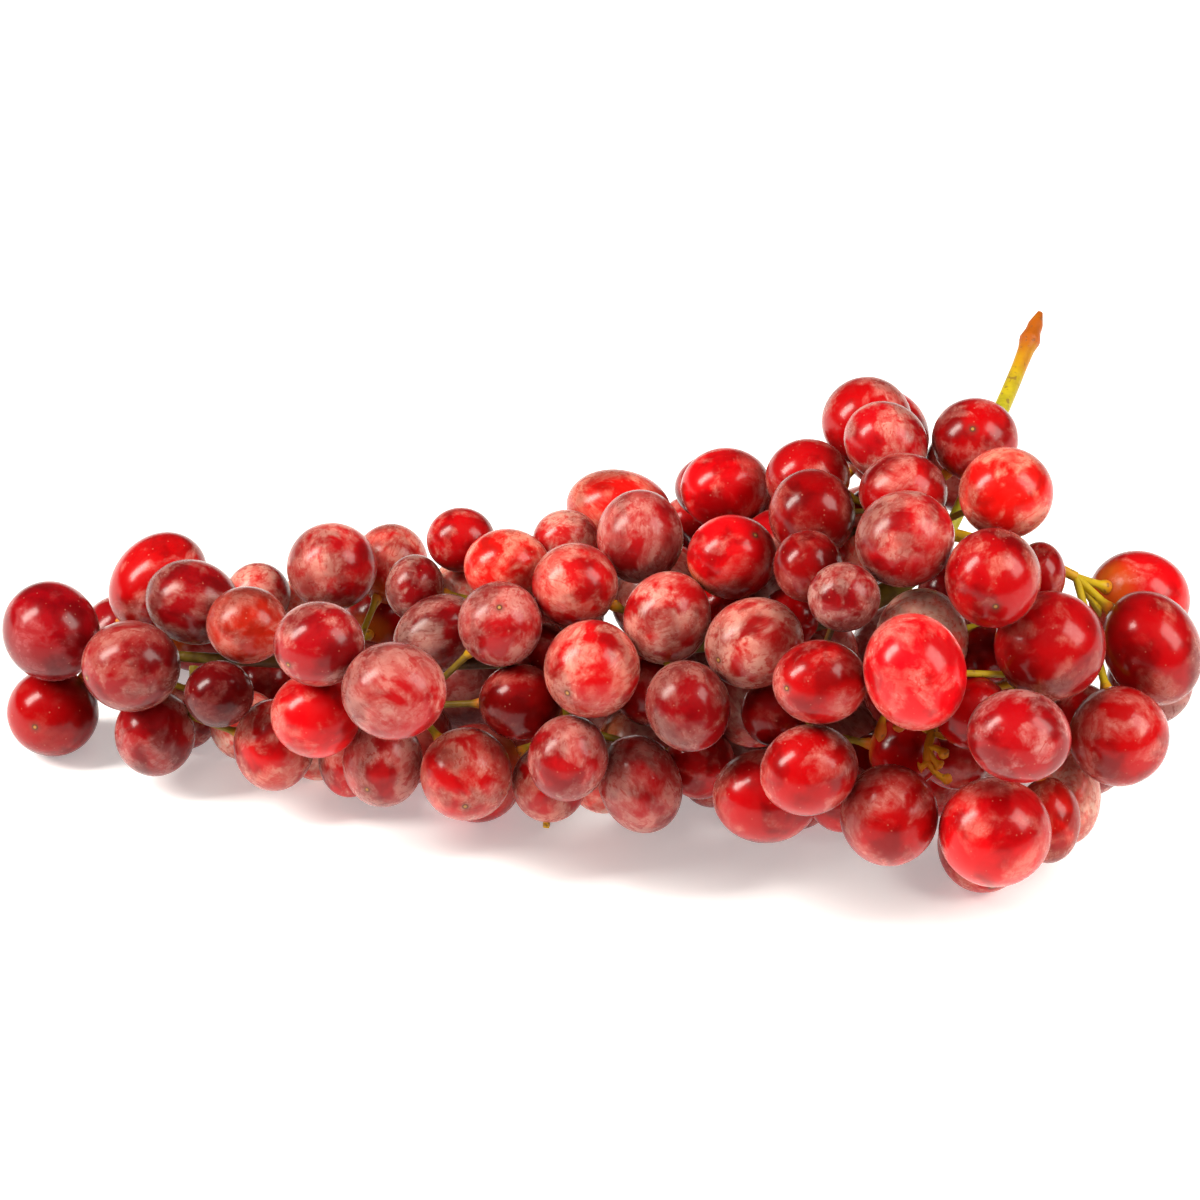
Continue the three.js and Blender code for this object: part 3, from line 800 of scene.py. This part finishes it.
veil = thickness * (0.22 + heaped * 0.83) * left_on * (0.70 + mottled * 0.38) * (0.75 + grain * 0.50)
veil = t.node("ShaderNodeClamp", {0: veil})

# Painted shade: the skin under it is darkened on the side turned into the bunch, which on the seen berries is
# the side turned from the viewer, so it darkens towards their rims where shade falls. It is also darker in slow
# patches of its own tone, and has pale dots.
painted_shade_side = 1 - t.rise(outer, -0.05, 0.80)
depth_patches = t.rise(t.noise(own_place, 1.1, detail=4.0, distortion=0.3), 0.44, 0.64)
painted_shade_and_tone = 1 - (1 - painted_shade_side * 0.42) * (1 - depth_patches * 0.48)
colour = t.vector("SCALE", t.attribute("skin"), 1.05 - painted_shade_and_tone)
cells = t.node("ShaderNodeTexVoronoi", {"Vector": place, "Scale": 520.0})
dots = (1 - t.rise(cells, 0.05, 0.13)) * 0.25
colour = t.mixed(dots, colour, (0.62, 0.25, 0.16, 1))
# The bloom over it takes the same painted shade and dark patches, a little weaker.
bloom_colour = t.vector("SCALE", t.attribute("bloom"), 1.05 - painted_shade_and_tone * 0.72)
colour = t.mixed(veil, colour, bloom_colour)

# Round the stalk it is unripe yellow on some berries, and there is a thin brown rim at the stalk itself.
unripe = unripe_share * (1 - t.rise(from_stalk, 0.25, 0.85))
colour = t.mixed(unripe * (0.6 + windows * 0.5), colour, (0.78, 0.20, 0.015, 1))
stalk_rim = (1 - t.rise(from_stalk, 0.10, 0.20)) * 0.8
colour = t.mixed(stalk_rim, colour, (0.22, 0.10, 0.03, 1))

# The scar has a dull halo, a dark ring and a dry pale tip.
halo = (1 - t.rise(from_scar, 0.07, 0.20)) * 0.45
colour = t.mixed(halo, colour, (0.16, 0.035, 0.025, 1))
ring = 1 - t.rise(from_scar, 0.065, 0.085)
colour = t.mixed(ring * 0.85, colour, (0.10, 0.03, 0.015, 1))
dry_tip = 1 - t.rise(from_scar, 0.028, 0.045)
colour = t.mixed(dry_tip, colour, (0.40, 0.20, 0.05, 1))

pores = t.noise(place, 1600.0, detail=2.0)
relief = pores * 0.5 + grain * 0.5 + dots * 1.5
bump = t.node("ShaderNodeBump", {"Strength": 0.10, "Distance": 0.0002, "Height": relief})
roughness = 0.17 + veil * 0.15 + ring * 0.2 + grain * 0.05
t.surface({
    "Base Color": colour,
    "Roughness": roughness,
    "Normal": bump,
    "IOR": 1.45,
    "Specular IOR Level": 0.25,
    "Sheen Weight": 0.06,
    "Sheen Roughness": 0.25,
    "Sheen Tint": (1.0, 0.78, 0.74, 1),
    "Subsurface Weight": 0.20,
    "Subsurface Radius": (1.0, 0.10, 0.06),
    "Subsurface Scale": 0.004,
})


# The berries themselves: each is turned so that its scar looks away from its stalk, is a little uneven,
# and is drawn in round the stalk. Those that carry the bunch are pressed flat where they touch the
# table. The angles and shares here are those on the round ball that is stretched into a berry.
ring_crowding = 1.35
stalk_hollow_steepness = 14.0
scar_pit_angle = 0.075
scar_pit_steepness = 900.0
scar_pit_depth = 0.008
scar_turned_away = 0.2
way_spread = 0.45
fullest_share = 1.028


def geometry_tree(name, sockets):
    """A tree that makes meshes, and what it is given to work on and to work with."""
    tree = bpy.data.node_groups.new(name, "GeometryNodeTree")
    face = tree.interface
    face.new_socket("Geometry", in_out="OUTPUT", socket_type="NodeSocketGeometry")
    for label, kind in {"Geometry": "Geometry", **sockets}.items():
        face.new_socket(label, in_out="INPUT", socket_type="NodeSocket" + kind)
    g = Tree(tree)
    group = tree.nodes.new("NodeGroupInput")
    return g, {socket.name: Wire(g, socket) for socket in group.outputs if socket.name}


def finished_tree(g, shape, material):
    """Ends a tree: its shape is smooth, real and of one material."""
    shape = g.node("GeometryNodeSetShadeSmooth", {0: shape})
    shape = g.node("GeometryNodeRealizeInstances", {"Geometry": shape})
    shape = g.node("GeometryNodeSetMaterial", {"Geometry": shape, "Material": material})
    g.node("NodeGroupOutput", {0: shape})
    return g.tree


def berry_maker():
    sockets = {"Sides": "Int", "Rings": "Int", "Unevenness": "Float", "Stalk Hollow": "Float"}
    g, given = geometry_tree("berries", {**sockets, "Skin": "Material"})

    def vector_attribute(name):
        return g.node("GeometryNodeInputNamedAttribute", {"Name": name}, data_type="FLOAT_VECTOR")

    def kept(geometry, name, value, kind):
        feeds = {"Geometry": geometry, "Name": name, "Value": value}
        return g.node("GeometryNodeStoreNamedAttribute", feeds, data_type=kind, domain="POINT")

    def split(vector, part):
        return g.node("ShaderNodeSeparateXYZ", {0: vector}, out=part)

    def joined(*parts):
        return g.node("ShaderNodeCombineXYZ", dict(enumerate(parts)))

    # Rings of faces are crowded towards the free end, where the scar is small.
    rounds = {"Segments": given["Sides"], "Rings": given["Rings"], "Radius": 1.0}
    ball = g.node("GeometryNodeMeshUVSphere", rounds)
    corner = g.node("GeometryNodeInputPosition")
    polar = g.math("ARCCOSINE", split(corner, 2))
    crowded = (polar / math.pi) ** ring_crowding * math.pi
    widen = g.math("SINE", crowded) / g.math("MAXIMUM", g.math("SINE", polar), 0.0001)
    level = g.math("COSINE", crowded)
    crowded_place = joined(split(corner, 0) * widen, split(corner, 1) * widen, level)
    ball = g.node("GeometryNodeSetPosition", {"Geometry": ball, "Position": crowded_place})
    ball = kept(ball, "on_berry", corner, "FLOAT_VECTOR")
    crowd = g.node("GeometryNodeInstanceOnPoints", {"Points": given["Geometry"], "Instance": ball})
    crowd = g.node("GeometryNodeRealizeInstances", {"Geometry": crowd})

    on_ball = vector_attribute("on_berry")
    centre = g.vector("SUBTRACT", g.node("GeometryNodeInputPosition"), on_ball)
    scar_angle = g.math("ARCCOSINE", split(on_ball, 2))
    stalk_way = g.vector("DOT_PRODUCT", on_ball, vector_attribute("stalk_way"), out=1)
    stalk_angle = g.math("ARCCOSINE", g.node("ShaderNodeClamp", {0: stalk_way, 1: -1.0, 2: 1.0}))
    outer = g.vector("DOT_PRODUCT", on_ball, vector_attribute("outer_way"), out=1)
    for name, value in (("from_scar", scar_angle), ("from_stalk", stalk_angle), ("outer", outer)):
        crowd = kept(crowd, name, value, "FLOAT")
    # No two berries have the same unevenness, because each takes it from its own place.
    uneven_place = g.vector("ADD", on_ball, g.vector("SCALE", centre, 190.0))
    uneven = g.noise(uneven_place, 1.1, detail=1.0)
    hollow = g.math("EXPONENT", stalk_angle * stalk_angle * -stalk_hollow_steepness)
    pit = g.math("EXPONENT", (scar_angle - scar_pit_angle) ** 2.0 * -scar_pit_steepness)
    size = 1 - uneven * given["Unevenness"] - hollow * given["Stalk Hollow"] - pit * scar_pit_depth
    body = g.vector("SCALE", on_ball, size)
    placed = centre
    for part, name in enumerate(("half_a", "half_b", "half_c")):
        placed = g.vector("ADD", placed, g.vector("SCALE", vector_attribute(name), split(body, part)))
    crowd = g.node("GeometryNodeSetPosition", {"Geometry": crowd, "Position": placed})
    corner = g.node("GeometryNodeInputPosition")
    pressed = joined(split(corner, 0), split(corner, 1), g.math("MAXIMUM", split(corner, 2), 0.0))
    crowd = g.node("GeometryNodeSetPosition", {"Geometry": crowd, "Position": pressed})
    return finished_tree(g, crowd, given["Skin"])


def keep_values(mesh, name, kind, values):
    """Keeps one value, direction or colour for each corner of a mesh."""
    field = mesh.attributes.new(name, kind, "POINT")
    key = {"FLOAT_VECTOR": "vector", "FLOAT": "value", "FLOAT_COLOR": "color"}[kind]
    field.data.foreach_set(key, np.array(values, dtype=np.float32).ravel())


def grown_mesh(name, mesh, tree, inputs):
    """Runs a tree on a mesh and keeps the result as a plain object."""
    source = bpy.data.objects.new(name + "_source", mesh)
    scene.collection.objects.link(source)
    modifier = source.modifiers.new("maker", "NODES")
    modifier.node_group = tree
    for item in tree.interface.items_tree:
        if item.name in inputs and item.in_out == "INPUT":
            modifier[item.identifier] = inputs[item.name]
    depsgraph = bpy.context.evaluated_depsgraph_get()
    result = bpy.data.meshes.new_from_object(
        source.evaluated_get(depsgraph), preserve_all_data_layers=True, depsgraph=depsgraph
    )
    bpy.data.objects.remove(source)
    piece = bpy.data.objects.new(name, result)
    result.name = name
    scene.collection.objects.link(piece)
    return piece


def unit_way(berry, direction):
    """A direction from a berry's centre, on the ball that is stretched into the berry."""
    return unit((berry.axes @ direction) / berry.half)


def free_end(berry, stalk_way):
    """The scar is where it is seen, or else opposite the stalk and just out of sight."""
    if berry.scar is None:
        way = -stalk_way
        if berry.outline and way[2] > -scar_turned_away:
            way[2] = 0
            way = unit(way) - [0, 0, scar_turned_away]
        return unit(way)
    x, y, width, height = berry.outline
    along, aside = on_outline(
        berry.scar[0] - x, y - berry.scar[1], berry.turn, width / 2, height / 2
    )
    return np.array([along, aside, math.sqrt(max(0, 1 - along ** 2 - aside ** 2))])


box_low, box_high = (np.array(corner) / MM for corner in box_before)
berry_tree = berry_maker()
chance = np.random.default_rng(11)
for berry in berries:
    stalk_way = unit_way(berry, berry.stalk[-2] - berry.centre)
    outward = free_end(berry, stalk_way)
    side = unit(np.cross(outward, right if abs(outward[0]) < 0.8 else up))
    frame_axes = np.array([side, np.cross(outward, side), outward])
    low = np.array([*box_low[:2], -berry.half.max()])
    room = np.minimum(box_high - berry.centre, berry.centre - low)
    share = min(fullest_share, *(room / berry.reach(np.eye(3))))
    berry.half_axes = (frame_axes * berry.half) @ berry.axes * share
    berry.stalk_way = frame_axes @ stalk_way
    seen_side = [0, 0, 1] if berry.outline else [1, 0, 0]
    outer_way = unit(np.array(seen_side) + chance.uniform(-way_spread, way_spread, 3))
    berry.outer_way = frame_axes @ outer_way
    berry.seed = chance.uniform(0, 20)
    berry.unripe = 1.0 if berry.finish == "salmon" else chance.choice([0, 0, 0.5])

spray_names = [f"spray_{k + 1:02d}" for k in range(branch_count)] + ["wing_spray"]
for k, node_name in enumerate(spray_names):
    own = [berry for berry in berries if berry.spray == k]
    mesh = bpy.data.meshes.new("points")
    mesh.from_pydata([Vector(berry.centre * MM) for berry in own], [], [])
    for axis, name in enumerate(("half_a", "half_b", "half_c")):
        keep_values(mesh, name, "FLOAT_VECTOR", [berry.half_axes[axis] * MM for berry in own])
    for name in ("stalk_way", "outer_way"):
        keep_values(mesh, name, "FLOAT_VECTOR", [getattr(berry, name) for berry in own])
    for column, name in enumerate(("skin", "bloom")):
        keep_values(mesh, name, "FLOAT_COLOR", [(*finishes[berry.finish][column], 1) for berry in own])
    for column, name in enumerate(("thickness", "rubbed"), 2):
        keep_values(mesh, name, "FLOAT", [finishes[berry.finish][column] for berry in own])
    for name in ("seed", "unripe"):
        keep_values(mesh, name, "FLOAT", [getattr(berry, name) for berry in own])
    sizes = {"Sides": 48, "Rings": 26, "Unevenness": 0.02, "Stalk Hollow": 0.03, "Skin": skin}
    piece = grown_mesh(node_name + "_berries", mesh, berry_tree, sizes)
    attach(piece, "root")
    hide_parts(node_name)


# The stem's bark: smooth and lime yellow where it is fresh, amber to orange brown at its cut end, its
# joints and the knobs under the berries, and darkened to dull brown deep in the bunch, partly by age and
# partly as painted shade where the inner stems lie in the shadow of the berries, with fine lines along it
# and small corky specks.
bark, t = new_material("green_stem")
place = t.node("ShaderNodeTexCoord", out=3)
patches = t.rise(t.noise(place, 130.0, detail=3.0), 0.35, 0.65)
browned = t.attribute("browned", out=2)
shade_and_age = t.attribute("shade_and_age", out=2)
fibres = t.noise(t.vector("MULTIPLY", place, (1.0, 2.2, 2.2)), 700.0, detail=3.0, roughness=0.6)
specks = t.rise(t.noise(place, 900.0, detail=1.0), 0.62, 0.70)
colour = t.mixed(patches, (0.58, 0.48, 0.006, 1), (0.34, 0.32, 0.010, 1))
colour = t.mixed(t.rise(fibres, 0.4, 0.75) * 0.4, colour, (0.66, 0.50, 0.03, 1))
colour = t.mixed(browned * (0.8 + patches * 0.4), colour, (0.58, 0.125, 0.003, 1))
# Darkened to dark brown by age and, deep in the bunch, by painted shade.
colour = t.mixed(shade_and_age * (0.85 + patches * 0.3), colour, (0.070, 0.024, 0.003, 1))
colour = t.mixed(specks * 0.6, colour, (0.16, 0.07, 0.02, 1))
bump = t.node("ShaderNodeBump", {"Strength": 0.35, "Distance": 0.0003, "Height": fibres + specks * 0.6})
t.surface({
    "Base Color": colour,
    "Roughness": 0.36 + fibres * 0.2,
    "Normal": bump,
    "IOR": 1.45,
    "Specular IOR Level": 0.3,
})


def stem_maker():
    """A tree that sweeps a round stem along each open line of a mesh."""
    g, given = geometry_tree("stems", {"Sides": "Int", "Bark": "Material"})
    thickness = g.node("GeometryNodeInputNamedAttribute", {"Name": "thickness"}, data_type="FLOAT")
    lines = g.node("GeometryNodeMeshToCurve", {0: given["Geometry"]})
    rim = g.node("GeometryNodeCurvePrimitiveCircle", {"Resolution": given["Sides"], "Radius": 1.0})
    sweep = {"Curve": lines, "Profile Curve": rim, "Scale": thickness, "Fill Caps": True}
    return finished_tree(g, g.node("GeometryNodeCurveToMesh", sweep), given["Bark"])


def line_mesh(lines):
    """Open lines, each given by its places, radii, how brown it is there, and how darkened it is there by age
    and painted shade.
    """
    corners, edges, radii, browned, shade_and_age = [], [], [], [], []
    for places, thick, brown, line_shade_and_age in lines:
        first = len(corners)
        corners += [Vector(place * MM) for place in places]
        edges += [(first + k, first + k + 1) for k in range(len(places) - 1)]
        radii += list(np.array(thick) * MM)
        browned += list(brown)
        shade_and_age += list(line_shade_and_age)
    mesh = bpy.data.meshes.new("lines")
    mesh.from_pydata(corners, edges, [])
    for name, values in (("thickness", radii), ("browned", browned), ("shade_and_age", shade_and_age)):
        keep_values(mesh, name, "FLOAT", values)
    return mesh


# The main stem: thickest where branches leave it, with a swollen joint below its slanting cut end. It
# is orange brown at the cut, amber below the joint, lime yellow where it enters the bunch and dull brown
# inside, partly by age and partly as painted shade where it lies in the shadow of the berries. Places
# along it are shares of its length.
stem_tree = stem_maker()
stem_fineness = 400
fine = smooth_route(list(stem_route), stem_fineness)
along = np.linspace(0, 1, stem_fineness + 1)
fine_radii = np.interp(along, np.linspace(0, 1, len(stem_radii)), stem_radii)
joint_places = [0, 0.03, 0.048, 0.068, 0.090, 0.12, 0.20, 0.25, 0.30, 0.40, 0.45]
joint_radii = [0.6, 1.50, 1.60, 2.15, 1.65, 1.52, 1.60, 1.55, 1.30, 1.40, 2.20]
fine_radii = np.where(along < joint_places[-1], np.interp(along, joint_places, joint_radii), fine_radii)
stem_brown = np.interp(along, [0, 0.07, 0.085, 0.125, 0.15, 0.20, 1], [1, 1, 0.75, 0.60, 0.20, 0, 0])
stem_shade_and_age = np.interp(along, [0, 0.07, 0.12, 0.38, 0.44, 1], [0.42, 0.36, 0.22, 0.18, 0.80, 0.95])
stem_line = (fine, fine_radii, stem_brown, stem_shade_and_age)
piece = grown_mesh("main_stem_bark", line_mesh([stem_line]), stem_tree, {"Sides": 20, "Bark": bark})
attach(piece, "root")
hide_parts("main_stem")


# The branches and the stalks of the berries: thin and green, a little swollen where they fork, and each
# stalk ends in a warty cap that the berry sits on.
branch_fineness = 24
stalk_fineness = 20
cap_height = 0.2
cap_length = 1.3
cap_swelling = 0.75
lines = []
for k, route in enumerate(branches):
    places = smooth_route(list(route), branch_fineness)
    share = np.linspace(0, 1, branch_fineness + 1)
    # Branches deep in the bunch are darkened with painted shade; the wing's branch lies in the light and is
    # not.
    ripe, line_shade_and_age = (0.40, 0.0) if k == branch_count else (0.15, 0.78)
    thick = branch_radius * (0.92 + 0.25 * np.exp(-(share * 9) ** 2))
    lines.append((places, thick, ripe + share * 0.15, np.full(branch_fineness + 1, line_shade_and_age)))
for berry in berries:
    places = smooth_route(list(berry.stalk), stalk_fineness)
    away = length((places - berry.centre) @ berry.axes.T / berry.half)
    to_skin = (away - 1) * berry.half.mean()
    cap = np.exp(-((to_skin - cap_height) / cap_length) ** 2)
    # Stalks are darkened by a random amount, partly age and partly painted shade inside the bunch, less towards
    # their caps; the wing's stalks, in the light, hardly at all.
    stout, line_shade_and_age = (1.2, 0.1) if berry.spray == branch_count else (1.0, chance.choice([0.4, 0.65, 0.85]))
    thick = stalk_radius * stout * (0.95 + cap_swelling * cap)
    lines.append((places, thick, 0.25 + 0.6 * cap, line_shade_and_age * (1 - cap)))

# In the open hollow at the lower right a spur has lost its berries: its stubs end in empty brown knobs.
# It comes from the end of the first branch. Rows are a pixel and a depth towards the viewer.
spur_rows = [(948, 700, 45), (940, 716, 58), (932, 733, 66), (928, 748, 69), (927, 762, 70)]
stub_rows = [
    [(932, 733, 66), (947, 737, 68), (964, 735, 70)],
    [(928, 748, 69), (934, 760, 70), (942, 768, 70)],
    [(927, 762, 70), (938, 775, 70), (952, 781, 70)],
    [(928, 748, 69), (936, 748, 70), (948, 757, 71)],
    [(927, 762, 70), (923, 766, 71), (918, 768, 71)],
    [(932, 733, 66), (912, 724, 68), (893, 728, 70)],
    [(912, 724, 68), (886, 714, 70), (879, 742, 70)],
]
spur_fineness = 16
spur_radius = 0.85
stub_radius = 0.6
knob_radius = 1.3
knob_place = 0.86
knob_length = 0.14
share = np.linspace(0, 1, spur_fineness + 1)
spur_route = smooth_route([branches[0][-1]] + [spot(*row) for row in spur_rows], spur_fineness)
lines.append((spur_route, np.full(len(share), spur_radius), 0.6 + share * 0.3, (1 - share) * 0.4))
knob = np.exp(-((knob_place - share) / knob_length) ** 2)
rounded_end = np.sqrt(np.clip(1 - share ** 12, 0.03, 1))
stub_radii = (stub_radius + (knob_radius - stub_radius) * knob) * rounded_end
for rows in stub_rows:
    stub_route = smooth_route([spot(*row) for row in rows], spur_fineness)
    lines.append((stub_route, stub_radii, 0.75 + 0.25 * knob, knob * 0.15))

# A dry amber stub is left at the free end of one low berry, and shows just under it. A row is a pixel.
stub_bearer_row = (549, 783)
dry_stub_rows = [(548, 812), (546, 828)]
dry_stub_radii = [0.7, 0.62, 0.58, 0.75, 0.6]
dry_stub_brown = [0.55] * len(dry_stub_radii)
dry_stub_shade_and_age = [0.0] * len(dry_stub_radii)
bearer = next(berry for berry in seen if berry.outline[:2] == stub_bearer_row)
dry_stub = smooth_route([spot(*row, bearer.depth) for row in dry_stub_rows], len(dry_stub_radii) - 1)
lines.append((dry_stub, dry_stub_radii, dry_stub_brown, dry_stub_shade_and_age))
piece = grown_mesh("stalks", line_mesh(lines), stem_tree, {"Sides": 12, "Bark": bark})
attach(piece, "root")
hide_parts(*spray_names)


# A plain white table, two tall soft lights, high on the left and on the right, and a wide weak one above
# the viewer.
half_table = 4.0
table_height = -0.0002
table_corners = [
    (x * half_table, y * half_table, table_height) for x, y in ((-1, -1), (1, -1), (1, 1), (-1, 1))
]
table_mesh = bpy.data.meshes.new("table_top")
table_mesh.from_pydata(table_corners, [], [(0, 1, 2, 3)])
table = bpy.data.objects.new("table_top", table_mesh)
scene.collection.objects.link(table)
white, t = new_material("white_table")
t.surface({
    "Base Color": (0.93, 0.93, 0.93, 1),
    "Roughness": 0.6,
    "Emission Color": (1, 1, 1, 1),
    "Emission Strength": 0.34,
})
table_mesh.materials.append(white)
table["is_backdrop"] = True


def softbox(name, across, above, nearer, size, power):
    """A soft light, placed in metres across the view, above it and nearer to the viewer."""
    light = bpy.data.lights.new(name, "AREA")
    light.shape = "RECTANGLE"
    light.size, light.size_y = size
    light.energy = power
    light.color = (1.0, 0.965, 0.90)
    holder = bpy.data.objects.new(name, light)
    holder.location = looked_at + right * across + up * above + toward * nearer
    holder.rotation_euler = (Vector(looked_at) - holder.location).to_track_quat("-Z", "Y").to_euler()
    scene.collection.objects.link(holder)
    return holder


softbox("left_light", -0.66, 0.42, 0.42, (0.22, 0.56), 12.6)
front_light = softbox("front_light", 0.0, 0.50, 1.05, (1.4, 1.0), 5.4)
front_light.visible_glossy = False
softbox("right_light", 0.66, 0.34, 0.52, (0.42, 0.62), 9.0)
surroundings = bpy.data.worlds.new("surroundings")
surroundings.use_nodes = True
t = Tree(surroundings.node_tree)
sky = t.node("ShaderNodeBackground", {"Color": (1.0, 1.0, 1.0, 1), "Strength": 0.06})
t.node("ShaderNodeOutputWorld", {"Surface": sky})
scene.world = surroundings
scene.view_settings.view_transform = "Standard"

sizes = {"cad": [list(corner) for corner in box_before], "visual": [list(corner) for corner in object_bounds()]}
